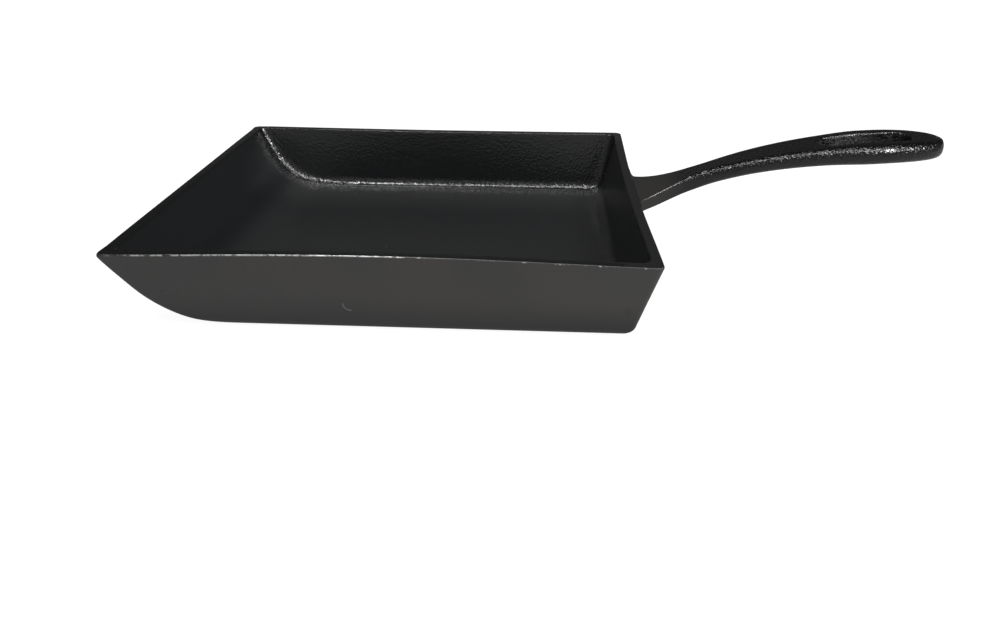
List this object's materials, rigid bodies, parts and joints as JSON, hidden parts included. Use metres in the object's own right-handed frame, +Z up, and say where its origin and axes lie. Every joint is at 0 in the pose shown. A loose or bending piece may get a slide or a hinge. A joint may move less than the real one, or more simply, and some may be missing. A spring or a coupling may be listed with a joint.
{
  "type": "tamagoyaki pan",
  "caption": "Rectangular cast iron rolled-omelette pan with a swept-up front, drafted side walls and an arched handle with a hanging slot.",
  "frame": {"origin": "on the flat of the base, under the middle of the rim rectangle", "axes": "+X from the swept front towards the handle's end, +Y to the left side wall, +Z up"},
  "size_m": [0.2998, 0.1446, 0.054],
  "materials": {
    "pan_iron": "dark seasoned cast iron, fine pebbled grain inside, smoother outside, satin",
    "handle_iron": "dark seasoned cast iron, fine pebbled grain, satin"
  },
  "bodies": {
    "root": {"pan_body": "pan_iron", "handle": "handle_iron"}
  },
  "joints": []
}
